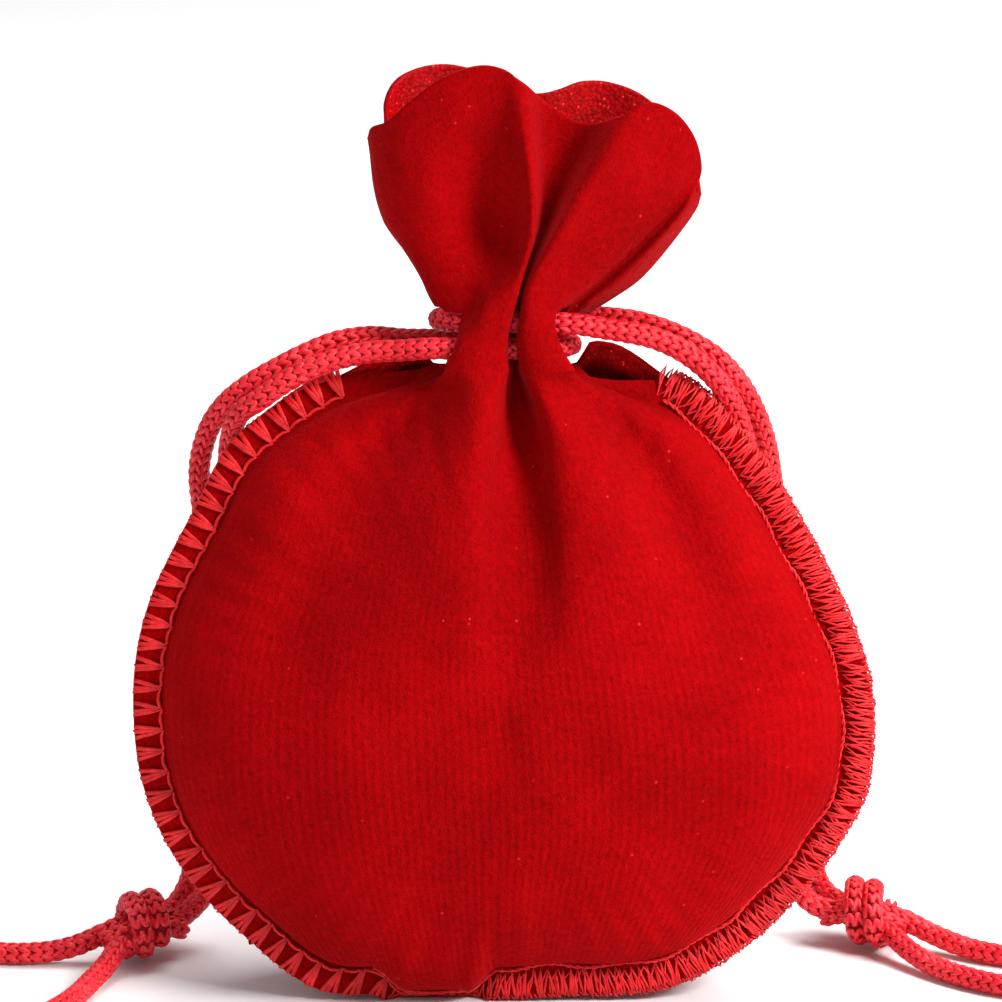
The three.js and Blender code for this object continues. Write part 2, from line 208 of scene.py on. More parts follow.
def liningMaterial(look):
    # the velvet's wrong side: a shiny fine knit over random patches, each loop painted darker towards its
    # edge as painted shade between the loops, with painted glints: bright specks where its loops would catch
    # the light
    material, tree, shader = newMaterial("knit_wrong_side", {
        "Roughness": 0.6,
        "Specular IOR Level": 0.05,
    })
    spot = addNode(tree, "ShaderNodeTexCoord").outputs["Object"]
    loops = addNode(tree, "ShaderNodeTexVoronoi", {"Vector": spot, "Scale": look["loopScale"]})
    patch = noiseOf(tree, spot, look["patchScale"], 3)
    height = weigh(tree, [(loops.outputs["Distance"], 0.6), (patch, 0.5)])
    # painted shade: each loop darker towards its edge, where the loops meet
    tone = addRamp(tree, height, [(0.3, look["middle"]), (0.75, look["deep"])])
    # painted glints: a few loops' middles painted bright as highlights
    glint = addRamp(tree, loops.outputs["Color"], [(0.76, (0, 0, 0)), (0.86, (1, 1, 1))])
    dot = addRamp(tree, loops.outputs["Distance"], [(0.16, (1, 1, 1)), (0.36, (0, 0, 0))])
    paintedGlint = mixColour(tree, 1.0, glint, dot, "MULTIPLY")
    colour = mixColour(tree, paintedGlint, tone, (*look["paintedGlint"], 1))
    tree.links.new(colour, shader.inputs["Base Color"])
    addBumps(tree, shader, [(loops.outputs["Distance"], 0.5, 0.0002), (patch, 0.4, 0.0004)])
    return material


yarnScales = {
    "fibre": 6500,
    "strand": 1100,
    "shade": 180,
}


def yarnMaterial(name, dark, middle, light, roughness):
    # spun yarn: fine fibres over slow changes of shade; for the cord yarn the lightest tone is a painted
    # highlight
    material, tree, shader = newMaterial(name, {
        "Roughness": roughness,
        "Sheen Weight": 0.08,
        "Sheen Roughness": 0.4,
        "Sheen Tint": (1.0, 0.12, 0.16, 1),
        "Specular IOR Level": 0.3,
    })
    spot = addNode(tree, "ShaderNodeTexCoord").outputs["Object"]
    fibre = noiseOf(tree, spot, yarnScales["fibre"], 3, 0.65)
    strand = noiseOf(tree, spot, yarnScales["strand"], 2)
    shade = noiseOf(tree, spot, yarnScales["shade"], 2)
    height = weigh(tree, [(fibre, 0.4), (strand, 0.35), (shade, 0.3)])
    # for the cord yarn the light stop is a painted highlight
    tone = addRamp(tree, height, [(0.36, dark), (0.53, middle), (0.72, light)])
    tree.links.new(tone, shader.inputs["Base Color"])
    addBumps(tree, shader, [(strand, 0.4, 0.0002), (fibre, 0.6, 0.00008)])
    return material


yarns = {
    # three shades from dark to light, and roughness
    # the cord yarn's light tone is a painted highlight, laid on at random over its own red
    "cord_yarn": ((0.42, 0.002, 0.007), (0.7, 0.008, 0.019), (0.93, 0.08, 0.1), 0.4),
    # the cord's core is painted dark: painted shade in the gaps between the stitch legs
    "cord_core_painted_shade": ((0.16, 0.001, 0.004), (0.3, 0.003, 0.008), (0.45, 0.01, 0.02), 0.8),
    "overlock_thread": ((0.34, 0.001, 0.002), (0.62, 0.004, 0.007), (0.9, 0.024, 0.028), 0.45),
    # the velvet's rolled edge, coloured lighter than the velvet: painted sheen along its rounded pile
    "rolled_edge_painted_sheen": ((0.3, 0.0008, 0.0015), (0.5, 0.003, 0.005), (0.7, 0.012, 0.016), 0.7),
}

velvet = velvetMaterial(velvetLook)
lining = liningMaterial(liningLook)
cordYarn, coreShadeYarn, seamThread, edgePaintedSheen = [yarnMaterial(name, *look) for name, look in yarns.items()]
print("materials made")


def hermite(y0, y1, slope0, slope1, span, share):
    a = 2 * share ** 3 - 3 * share ** 2 + 1
    b = share ** 3 - 2 * share ** 2 + share
    c = 3 * share ** 2 - 2 * share ** 3
    d = share ** 3 - share ** 2
    return y0 * a + slope0 * (span * b) + y1 * c + slope1 * (span * d)


def throughStops(stops, at):
    # a smooth curve through [place, value] stops; values are numbers or vectors
    last = len(stops) - 1
    at = min(max(at, stops[0][0]), stops[last][0])
    i = max(k for k in range(last) if stops[k][0] <= at)

    def slope(k):
        low, high = max(k - 1, 0), min(k + 1, last)
        return (stops[high][1] - stops[low][1]) * (1 / (stops[high][0] - stops[low][0]))

    span = stops[i + 1][0] - stops[i][0]
    share = (at - stops[i][0]) / span
    return hermite(stops[i][1], stops[i + 1][1], slope(i), slope(i + 1), span, share)


def smoothstep(value, low, high):
    share = min(max((value - low) / (high - low), 0), 1)
    return share * share * (3 - 2 * share)


def alongRoute(points, step):
    # even steps along a smooth line through the points
    points = [Vector(point) for point in points]
    places = [0.0]
    for a, b in zip(points, points[1:]):
        places.append(places[-1] + math.sqrt((b - a).length))
    stops = list(zip(places, points))
    parts = 24 * len(points)
    fine = [throughStops(stops, places[-1] * i / parts) for i in range(parts + 1)]
    run = [0.0]
    for a, b in zip(fine, fine[1:]):
        run.append(run[-1] + (b - a).length)
    count = max(round(run[-1] / step), 2)
    line = []
    k = 0
    for i in range(count + 1):
        at = run[-1] * i / count
        while k < len(fine) - 2 and run[k + 1] < at:
            k += 1
        share = (at - run[k]) / max(run[k + 1] - run[k], 1e-9)
        line.append(fine[k].lerp(fine[k + 1], min(max(share, 0), 1)))
    return line, run[-1]


def framesAlong(line):
    # tangent and two side directions at each point, turning as little as they can
    frames = []
    side = None
    for i, spot in enumerate(line):
        tangent = (line[min(i + 1, len(line) - 1)] - line[max(i - 1, 0)]).normalized()
        if side is None:
            side = tangent.cross(Vector((0.2, 0.3, 1))).normalized()
        side = (side - tangent * side.dot(tangent)).normalized()
        frames.append((spot, tangent, side, tangent.cross(side)))
    return frames


def linkPiece(name, mesh, smooth=True):
    mesh.polygons.foreach_set("use_smooth", [smooth] * len(mesh.polygons))
    piece = bpy.data.objects.new(name, mesh)
    bpy.context.scene.collection.objects.link(piece)
    return piece


def finishMesh(name, bm, materials, smooth=True):
    mesh = bpy.data.meshes.new(name)
    bm.to_mesh(mesh)
    bm.free()
    for material in materials:
        mesh.materials.append(material)
    return linkPiece(name, mesh, smooth)


def curveTube(name, line, radius, roundness, material):
    # a poly curve with a round section, made into a mesh
    curve = bpy.data.curves.new(name, "CURVE")
    curve.dimensions = "3D"
    curve.bevel_depth = radius
    curve.bevel_resolution = roundness
    curve.use_fill_caps = True
    spline = curve.splines.new("POLY")
    spline.points.add(len(line) - 1)
    for point, spot in zip(spline.points, line):
        point.co = (*spot, 1)
    holder = bpy.data.objects.new(name + "_line", curve)
    bpy.context.scene.collection.objects.link(holder)
    bpy.context.view_layer.update()
    mesh = bpy.data.meshes.new_from_object(holder.evaluated_get(bpy.context.evaluated_depsgraph_get()))
    bpy.data.objects.remove(holder)
    bpy.data.curves.remove(curve)
    mesh.name = name
    mesh.materials.clear()
    mesh.materials.append(material)
    return linkPiece(name, mesh)


# Each cord goes once round the neck, leaves it on its own side, runs over the shoulder and down behind
# the body, and its two strands are tied together on the table. The routes are in metres.

leftCord = {
    "loop": [
        (-0.0047, -0.003, 0.0714), (-0.0029, -0.0031, 0.0714), (0, -0.003, 0.0714),
        (0.0032, -0.0024, 0.0713), (0.0056, -0.0007, 0.071), (0.0069, 0.0015, 0.0708),
        (0.0069, 0.0038, 0.0704), (0.0056, 0.006, 0.0701), (0.0032, 0.0076, 0.0699), (0, 0.0083, 0.0698),
        (-0.0029, 0.0083, 0.0698), (-0.0047, 0.0083, 0.0698),
    ],
    "frontStrand": [
        (-0.0051, -0.003, 0.0714), (-0.008, -0.0026, 0.0713), (-0.011, -0.0018, 0.0709),
        (-0.0145, -0.0009, 0.0705), (-0.018, -0.0003, 0.0696), (-0.0212, -0.0001, 0.0683),
        (-0.024, 0.0002, 0.0667), (-0.0263, 0.0008, 0.0649), (-0.0285, 0.0023, 0.0631),
        (-0.0295, 0.0043, 0.0603), (-0.0299, 0.0058, 0.057), (-0.0298, 0.0083, 0.0518),
        (-0.0298, 0.0102, 0.0455), (-0.0301, 0.0111, 0.0378), (-0.0306, 0.0112, 0.0297),
        (-0.0311, 0.0113, 0.0216), (-0.0316, 0.0116, 0.014), (-0.0322, 0.0119, 0.0092),
        (-0.0336, 0.0114, 0.0059), (-0.0353, 0.01, 0.0043), (-0.0366, 0.0089, 0.0039),
    ],
    "backStrand": [
        (-0.0051, 0.0083, 0.0698), (-0.008, 0.0078, 0.07), (-0.011, 0.0066, 0.0703),
        (-0.0145, 0.0051, 0.0709), (-0.018, 0.0036, 0.0707), (-0.0212, 0.0033, 0.0695),
        (-0.0242, 0.0036, 0.0679), (-0.0274, 0.0042, 0.0659), (-0.0302, 0.0052, 0.0634),
        (-0.0322, 0.0068, 0.06), (-0.0333, 0.0088, 0.0551), (-0.033, 0.0106, 0.049),
        (-0.0328, 0.0119, 0.0417), (-0.0332, 0.0126, 0.0341), (-0.0337, 0.0129, 0.0259),
        (-0.0342, 0.0131, 0.0183), (-0.0346, 0.0135, 0.0112), (-0.0352, 0.0136, 0.007),
        (-0.0369, 0.0127, 0.0042), (-0.0389, 0.0109, 0.0036),
    ],
    "knot": (-0.0403, 0.0065, 0.0041),
    "upperTail": [
        (-0.0446, 0.0056, 0.0032), (-0.047, 0.0052, 0.0022), (-0.05, 0.0049, 0.0015),
        (-0.054, 0.0047, 0.0013), (-0.058, 0.0056, 0.0013), (-0.0618, 0.0078, 0.0013),
        (-0.0646, 0.0112, 0.0013), (-0.0662, 0.0152, 0.0013), (-0.0668, 0.0195, 0.0013),
    ],
    "lowerTail": [
        (-0.0424, 0.0026, 0.003), (-0.0436, -0.001, 0.0019), (-0.045, -0.005, 0.0014),
        (-0.0462, -0.0092, 0.0013), (-0.048, -0.0135, 0.0013), (-0.0506, -0.0174, 0.0013),
        (-0.054, -0.0206, 0.0013), (-0.058, -0.0228, 0.0013), (-0.0622, -0.024, 0.0013),
    ],
}
rightCord = {
    "loop": [
        (0.0047, -0.0027, 0.0741), (0.0029, -0.0027, 0.0742), (0, -0.0027, 0.0741),
        (-0.0032, -0.002, 0.074), (-0.0056, -0.0003, 0.0738), (-0.0069, 0.0019, 0.0735),
        (-0.0069, 0.0042, 0.0731), (-0.0056, 0.0064, 0.0728), (-0.0032, 0.008, 0.0726),
        (0, 0.0087, 0.0725), (0.0029, 0.0087, 0.0725), (0.0047, 0.0087, 0.0725),
    ],
    "frontStrand": [
        (0.0051, -0.0027, 0.0741), (0.0076, -0.0024, 0.0739), (0.0102, -0.0016, 0.0733),
        (0.013, -0.0009, 0.0727), (0.0158, -0.0002, 0.0719), (0.0185, 0.0003, 0.0706),
        (0.0209, 0.0009, 0.0688), (0.0229, 0.0017, 0.0666), (0.0245, 0.0029, 0.0638),
        (0.0256, 0.0044, 0.0606), (0.0263, 0.0065, 0.0566), (0.0269, 0.0089, 0.0507),
        (0.0277, 0.0106, 0.0439), (0.0287, 0.0112, 0.0363), (0.0297, 0.0114, 0.0282),
        (0.0306, 0.0115, 0.0201), (0.0314, 0.0118, 0.0125), (0.032, 0.0124, 0.0083),
        (0.0334, 0.0126, 0.0054), (0.0349, 0.0122, 0.0043), (0.036, 0.0119, 0.0041),
    ],
    "backStrand": [
        (0.0051, 0.0087, 0.0725), (0.0078, 0.0082, 0.0726), (0.0108, 0.007, 0.0726),
        (0.014, 0.0056, 0.0725), (0.0172, 0.0044, 0.0718), (0.0202, 0.0039, 0.0705),
        (0.0229, 0.0042, 0.0686), (0.0252, 0.005, 0.0659), (0.027, 0.0061, 0.0625),
        (0.0283, 0.0076, 0.0587), (0.0292, 0.0096, 0.0535), (0.0301, 0.0114, 0.0469),
        (0.0311, 0.0125, 0.0391), (0.0322, 0.0131, 0.031), (0.0331, 0.0132, 0.0229),
        (0.0338, 0.0133, 0.0153), (0.0343, 0.0142, 0.0105), (0.035, 0.0154, 0.0066),
        (0.0364, 0.016, 0.0044), (0.038, 0.0152, 0.0037),
    ],
    "knot": (0.0403, 0.011, 0.0041),
    "upperTail": [
        (0.0446, 0.0104, 0.0033), (0.0474, 0.009, 0.0022), (0.0504, 0.007, 0.0015),
        (0.0534, 0.0049, 0.0013), (0.0573, 0.0033, 0.0013), (0.0616, 0.0034, 0.0013),
        (0.0654, 0.0054, 0.0013), (0.068, 0.0089, 0.0013), (0.069, 0.013, 0.0013),
    ],
    "lowerTail": [
        (0.0426, 0.0071, 0.003), (0.0446, 0.0036, 0.002), (0.0472, 0, 0.0014), (0.0502, -0.0032, 0.0013),
        (0.0536, -0.0058, 0.0013), (0.0576, -0.0076, 0.0013), (0.062, -0.0082, 0.0013),
        (0.0663, -0.0074, 0.0013), (0.07, -0.005, 0.0013),
    ],
}


knitted = {
    "diameter": 0.0024,
    "wales": 6,  # columns of stitches round the cord
    "stitch": 0.00124,  # length of one stitch
    "ride": 0.00093,  # how far the yarn's middle is from the cord's middle
    "legLength": 0.0009,  # half length, half width and half height of one leg of a stitch
    "legWidth": 0.00037,
    "legHeight": 0.0003,
    "legTilt": 24,
    "legSpread": 0.00032,  # a leg's middle stands this far to the side of its column's middle
    "core": 0.00088,
    # radians that the stitches turn round the cord from one course to the next
    "knotTwist": 0.02,
    "strandTwist": 0.004,
    "tailTwist": 0.01,
}


def stitchRow(look):
    # one course of stitches round a cord that runs along +Z: two slanted legs in each column
    bm = bmesh.new()
    tilt = math.radians(look["legTilt"])
    spread = look["legSpread"] / look["ride"]
    ahead = Vector((0, 0, 1))
    for wale in range(look["wales"]):
        for hand in (-1, 1):
            angle = 2 * math.pi * wale / look["wales"] + hand * spread
            outward = Vector((math.cos(angle), math.sin(angle), 0))
            across = ahead.cross(outward)
            lengthways = ahead * math.cos(tilt) + across * (hand * math.sin(tilt))
            sideways = outward.cross(lengthways)
            turn = Matrix((sideways * look["legWidth"], outward * look["legHeight"],
                           lengthways * look["legLength"])).transposed().to_4x4()
            place = Matrix.Translation(outward * look["ride"]) @ turn
            bmesh.ops.create_uvsphere(bm, u_segments=6, v_segments=4, radius=1, matrix=place)
    row = bpy.data.meshes.new("stitch_row")
    bm.to_mesh(row)
    bm.free()
    return row


courseOfStitches = stitchRow(knitted)


def knitCord(name, points, look, twist=0.0):
    line, length = alongRoute(points, look["stitch"])
    bm = bmesh.new()
    for row, (spot, tangent, side, other) in enumerate(framesAlong(line)):
        turn = Matrix((side, other, tangent)).transposed().to_4x4() @ Matrix.Rotation(twist * row, 4, "Z")
        place = Matrix.Translation(spot) @ turn
        courseOfStitches.transform(place)
        bm.from_mesh(courseOfStitches)
        courseOfStitches.transform(place.inverted())
    legs = finishMesh(name, bm, [cordYarn, coreShadeYarn])
    # the core's dark colour is painted shade, seen between the stitch legs
    core = curveTube(name + "_core", line, look["core"], 2, coreShadeYarn)
    return joinInto(legs, core), line, length


def joinInto(piece, extra):
    # the extra piece's mesh goes into the first, with its own material as the second slot
    bm = bmesh.new()
    bm.from_mesh(piece.data)
    first = len(bm.faces)
    bm.from_mesh(extra.data)
    bm.faces.ensure_lookup_table()
    for face in bm.faces[first:]:
        face.material_index = 1
    bm.to_mesh(piece.data)
    bm.free()
    bpy.data.objects.remove(extra)
    return piece


# An overhand knot in two strands held together: the wraps lie slantwise round the strands they hold.
knotShape = {
    "wrapAcross": 0.0034,  # the wraps' half width and half height, to the cord's middle
    "wrapHeight": 0.0025,
    "wrapPitch": 0.0023,
    "turns": 2.15,
    "startTurn": 0.35,  # in half turns
    "wrapSteps": 34,
    "endTuck": 0.12,  # share of the wraps at each end that tucks in
    "tuckDown": 0.45,
    "tuckIn": 0.3,
    "coreHalfLength": 0.0043,
    "strandGap": 0.0012,
    "strandSag": 0.0009,
    "strandPinch": 0.15,
}


def knotPieces(side, centre, toward, slant, shape):
    # toward is the way the strands run through the knot, on the table
    centre = Vector(centre)
    ahead = Vector(toward).normalized()
    up = Vector((0, 0, 1))
    across = up.cross(ahead)
    wrap = []
    end = shape["endTuck"]
    for i in range(shape["wrapSteps"] + 1):
        share = i / shape["wrapSteps"]
        angle = 2 * math.pi * shape["turns"] * share - shape["startTurn"] * math.pi
        run = (share - 0.5) * shape["turns"] * shape["wrapPitch"]
        lean = slant * math.cos(angle) * shape["wrapAcross"]
        offset = ahead * (run + lean) + across * (math.cos(angle) * shape["wrapAcross"])
        tuck = smoothstep(end - share, 0, end) + smoothstep(share - 1 + end, 0, end)
        tuck *= shape["tuckDown"]
        lift = up * (math.sin(angle) * shape["wrapHeight"] * (1 - tuck))
        wrap.append(centre + offset * (1 - shape["tuckIn"] * tuck) + lift)
    pieces = [knitCord(side + "_knot_wrap", wrap, knitted, knitted["knotTwist"])[0]]
    for number, hand in enumerate((-1, 1)):
        gap = across * (hand * shape["strandGap"])
        strand = []
        for s in (-1, -0.6, -0.2, 0.2, 0.6, 1):
            along = centre + ahead * (shape["coreHalfLength"] * s) + gap * (1 - shape["strandPinch"] * s * s)
            strand.append(along - up * (shape["strandSag"] * s * s))
        name = f"{side}_knot_strand_{number + 1}"
        pieces.append(knitCord(name, strand, knitted, knitted["knotTwist"] * hand)[0])
    return pieces


def drawcord(side, routes, toward, slant):
    body = side + "_cord_end"
    knot = knotPieces(side, routes["knot"], toward, slant, knotShape)
    for piece in knot:
        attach(piece, body)
    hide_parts(side + "_cord_knot")
    frontRoute = routes["loop"][::-1] + routes["frontStrand"]
    front, line, length = knitCord(side + "_front_strand", frontRoute, knitted, knitted["strandTwist"])
    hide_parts(side + "_cord_loop", side + "_cord_front_strand")
    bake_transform(front)
    backRoute = routes["backStrand"]
    back, line, length = knitCord(side + "_back_strand", backRoute, knitted, -knitted["strandTwist"])
    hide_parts(side + "_cord_back_strand")
    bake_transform(back)
    for stretch in ("upper", "lower"):
        route = routes[stretch + "Tail"]
        tail, line, length = knitCord(f"{side}_{stretch}_tail", route, knitted, knitted["tailTwist"])
        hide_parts(f"{side}_cord_{stretch}_tail")
        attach(tail, body)
    print(side, "drawcord knitted")


drawcord("left", leftCord, (-0.86, -0.5, 0), 0.35)
drawcord("right", rightCord, (0.86, -0.5, 0), -0.35)


# Each side of the pouch is one cloth from the seam under the body to the rim of the frill. Places on it
# are x, height up the seam plane, and depth in front of the seam plane or behind it, in millimetres.

pouchShape = {
    "lean": math.radians(8),
    "footY": -7.3,  # where the seam plane meets the table
    "centreHeight": 34.5,
    "seamRadius": 40.0,
    "border": 3.4,
    "borderFace": 0.95,
    "shoulderAngle": 75,
    "feet": (225, -45),  # where the cloth's lower corners come, in degrees round the middle
    "bulge": {"front": 14.0, "back": 18.4},
    "basePress": 14.0,  # how far the filled back is pressed down where it rests
    "basePressReach": 30.0,
    "basePressDepths": (3, 13),
    # left of the middle the seam is tucked under the resting body: x where that begins and ends, how far
    # back and down it goes, and the heights over which each fades
    "tuck": {"from": (-14.5, -10.5), "to": (-4, -0.5), "back": 2.5, "backFade": (2.4, 4.4),
             "down": 2.8, "downFade": (3.4, 13)},
    # angle round the body's middle, and the seam's radius there as a share
    "edge": [
        (-95, 0.853), (-80, 0.853), (-72, 0.882), (-65, 0.915), (-58, 0.94), (-50, 0.954), (-38, 0.97),
        (-25, 0.995), (-17, 1.012), (-10, 1.001), (0, 0.98), (8, 0.951), (20, 0.918), (30, 0.908),
        (38, 0.916), (47, 0.93), (55, 0.952), (61, 0.958), (68, 0.94), (75, 0.9), (90, 0.93), (105, 0.9),
        (112, 0.94), (120, 0.968), (130, 0.976), (138, 0.985), (144, 0.972), (150, 0.959), (158, 0.964),
        (166, 0.98), (175, 0.994), (185, 1.003), (195, 1.012), (205, 1.009), (215, 0.995), (225, 0.98),
        (235, 0.978), (240, 0.965), (247, 0.915), (256, 0.868), (265, 0.853), (280, 0.853),
    ],
}


def onPouch(x, height, depth):
    tuck = pouchShape["tuck"]
    under = smoothstep(x, *tuck["from"]) * (1 - smoothstep(x, *tuck["to"]))
    depth -= tuck["back"] * under * (1 - smoothstep(height, *tuck["backFade"]))
    height -= tuck["down"] * under * (1 - smoothstep(height, *tuck["downFade"]))
    lean = pouchShape["lean"]
    y = pouchShape["footY"] + height * math.sin(lean) - depth * math.cos(lean)
    z = height * math.cos(lean) + depth * math.sin(lean)
    return Vector((x, y, z)) * mm


def edgeRadius(angle):
    turned = angle - 360 if angle > 270 else angle
    return throughStops(pouchShape["edge"], turned) * pouchShape["seamRadius"]


def onEdge(angle, inset):
    radius = edgeRadius(angle) - inset
    turn = math.radians(angle)
    return Vector((radius * math.cos(turn), pouchShape["centreHeight"] + radius * math.sin(turn)))


clothLook = {
    "columns": 160,
    "rows": 216,
    "borderShare": 1 / 24,  # of the cloth's width and length, outside the needle holes
    "creaseFrom": 0.26,  # share of the cloth's length where the folds begin to show
    "creaseFull": 0.62,
    "turnFrom": 0.555,  # and where the body begins to turn into the neck
    # slow and small unevenness of the body, and the frill's: scales across and along, and depths in mm
    "softScale": (0.055, 0.055),
    "softDepth": 0.9,
    "smallScale": (0.16, 0.11),
    "smallDepth": 0.35,
    "frillScale": (0.22, 0.12),
    "frillDepth": 0.5,
    "frillFull": 0.9,
    "calmWidth": 7,  # along the seam the body stays smooth
    "thickness": 0.0006,
    "flat": (0.09, 0.12),
    "area": 0.009,
    "slit": 0.0015,  # the cloth is cut this far from a cord's middle
    "slitHeights": (0.067, 0.077),
    "foldY": {"front": -0.0047, "back": 0.0114},  # a line for each frill and two heights, which nothing reads
    "foldFrom": 0.0745,
    "foldTo": 0.08,
}

# Folds across each cloth, the same ones from the body up to the rim: share across, x, depth, and for the
# rim the height too.
foldStops = [0, 0.05, 0.12, 0.2, 0.29, 0.37, 0.43, 0.48, 0.52, 0.56, 0.62, 0.7, 0.79, 0.85, 0.9, 0.94, 1]
levelStops = {"low": 0.68, "cords": 0.71, "top": 0.745, "foot": 0.772, "waist": 0.83, "rim": 1}
levelHeights = {"low": 69.2, "cords": 72.3, "top": 76.0, "foot": 78.6, "waist": 84.5}
folds = {
    "front": {
        "low": [
            (-5.4, 0.3), (-5.4, 2.4), (-4.9, 3.6), (-6.3, 5.6), (-6.1, 7.8), (-4.1, 9.2), (-1.8, 9.3),
            (0.2, 8.2), (0.9, 3.0), (1.3, 3.0), (1.7, 7.8), (4.3, 9.5), (7.3, 8.7), (6.9, 6.4),
            (6.2, 3.9), (5.8, 2.4), (5.4, 0.3),
        ],
        "cords": [
            (-5.2, 0.3), (-5.2, 2.4), (-4.4, 3.3), (-5.1, 5.4), (-4.9, 7.9), (-3.2, 8.9), (-1.2, 8.9),
            (0.2, 8.1), (0.7, 3.6), (1, 3.6), (1.3, 7.8), (3, 9), (5.6, 8.3), (5.3, 6.2), (5, 3.8),
            (5.1, 2.3), (5.2, 0.3),
        ],
        "top": [
            (-7.3, 0.4), (-7.8, 2.6), (-7.2, 4.2), (-5.4, 5.2), (-3.4, 6.2), (-2.2, 8.6), (-0.5, 9.1),
            (0.9, 8.6), (1.4, 5.2), (1.6, 5.2), (1.8, 8.2), (2.8, 9), (5, 7.8), (6.4, 6), (7.7, 3.6),
            (8.9, 4.1), (11.2, 0.4),
        ],
        "foot": [
            (-8.7, 0.4), (-9, 3), (-8.2, 4.8), (-6.2, 5.6), (-3.7, 5.9), (-1.6, 6.8), (0.2, 8.6), (1.6, 9),
            (2, 6), (2.2, 6), (2.6, 8.9), (4.6, 8.4), (7.4, 7.2), (9.2, 5.8), (10.8, 3.8), (12.2, 4.6),
            (14.8, 0.5),
        ],
        "waist": [
            (-13, 0.5), (-12.2, 3), (-10, 5.2), (-7.2, 6), (-4.4, 5), (-1.9, 3.8), (0.9, 5.8), (2.9, 9.6),
            (3.9, 4.4), (4.6, 4.2), (5.8, 9.8), (9, 8.6), (12.6, 7.2), (15, 5.6), (16.9, 3.6),
            (17.9, 4.4), (19.6, 0.5),
        ],
        "rim": [
            (-14.7, 0.6, 93.4), (-14.2, 3, 94.6), (-12.4, 5.6, 95.4), (-9.8, 7.6, 97.7), (-6.5, 8.8, 100),
            (-3.2, 9.2, 101.1), (-0.6, 9, 101), (2.1, 8.6, 99.4), (4.4, 4.4, 97.3), (8, 3.4, 95.1),
            (12, 7.4, 96), (15, 7.8, 97.4), (18, 6.6, 96.3), (20.1, 4.8, 93.6), (20.9, 3, 90.3),
            (20.3, 2.6, 87.8), (21, 0.4, 87.4),
        ],
    },
    "back": {
        "low": [
            (-5.4, 0.3), (-5.3, 2.4), (-5, 3.6), (-6.2, 5.6), (-6, 7.9), (-4, 9.1), (-1.9, 9), (-0.6, 8),
            (0, 3.2), (0.6, 3.2), (1.3, 8.0), (3.8, 9.2), (6.4, 8.2), (6, 6), (5.4, 3.7),
            (5.4, 2.3), (5.4, 0.3),
        ],
        "cords": [
            (-5.2, 0.3), (-5.2, 2.4), (-4.5, 3.3), (-5.1, 5.5), (-4.9, 7.9), (-3.2, 8.9), (-1.6, 8.8),
            (-0.6, 7.9), (0, 3.7), (0.5, 3.7), (1.1, 7.9), (3, 8.9), (5.3, 8.1), (5, 6), (4.8, 3.6),
            (5, 2.2), (5.2, 0.3),
        ],
        "top": [
            (-7.3, 0.4), (-7.8, 2.8), (-7.2, 4.6), (-6, 6), (-4.6, 7.6), (-3.2, 8.4), (-1.6, 8.4),
            (-0.3, 8), (0.2, 5.2), (0.7, 5.2), (1.4, 8.2), (3, 8.6), (6, 7.6), (8.2, 6.2), (9.8, 4.4),
            (10.8, 2.6), (11.2, 0.4),
        ],
        "foot": [
            (-8.7, 0.4), (-9, 3.1), (-8.2, 5.2), (-7, 6.8), (-5.2, 7.8), (-3.6, 8.1), (-1.8, 8),
            (-0.3, 8.3), (0.5, 5.8), (1.3, 5.8), (2.4, 8.5), (5.2, 8.2), (9, 7.2), (11.4, 5.6),
            (13.2, 3.8), (14.2, 2.2), (14.8, 0.5),
        ],
        "waist": [
            (-12.8, 0.5), (-12.2, 3.2), (-10.6, 5.6), (-8.2, 7), (-5.6, 7.4), (-3.2, 6.8), (-0.8, 7),
            (1, 7.8), (2.4, 5.8), (4, 6), (6.2, 8), (9.6, 7.8), (13.6, 6.8), (16.4, 5.4), (18.2, 3.8),
            (19.1, 2.2), (19.6, 0.5),
        ],
        "rim": [
            (-12.8, 0.8, 94.4), (-13, 2.8, 97), (-11.9, 5.2, 99.3), (-9.5, 7.6, 100.6), (-6.6, 8.7, 101),
            (-3.6, 8.8, 100.5), (-0.8, 8, 99.5), (1.6, 6.8, 98.4), (3.4, 6, 97.9), (5.5, 6.4, 98.3),
            (8.3, 8, 99.2), (11.5, 8.6, 99), (15, 8, 97.6), (17.8, 6.2, 95), (19.8, 4, 91.8),
            (20.7, 2.2, 89.4), (21, 0.4, 87.4),
        ],
    },
}

# How far the folds still show in the body below the neck: share across, and depth.
bodyFolds = {
    "front": [
        (0, 0), (0.12, 0), (0.23, -2), (0.33, 1.3), (0.41, 2.8), (0.465, 1.4), (0.505, -3.8), (0.54, -5.2),
        (0.575, -3.8), (0.615, 1.2), (0.665, 2.9), (0.73, 1.8), (0.81, -2), (0.9, 0), (1, 0),
    ],
    "back": [
        (0, 0), (0.15, 0), (0.26, -1.2), (0.35, 1.6), (0.44, 1.2), (0.5, -3), (0.56, 1.2), (0.65, 1.7),
        (0.75, -1.2), (0.85, 0), (1, 0),
    ],
}


def foldAt(side, level, share):
    # x, height and depth on one of the levels above the body
    stops = [(u, Vector(row)) for u, row in zip(foldStops, folds[side][level])]
    spot = throughStops(stops, share)
    height = spot.z if level == "rim" else levelHeights[level]
    return Vector((spot.x, height, spot.y))


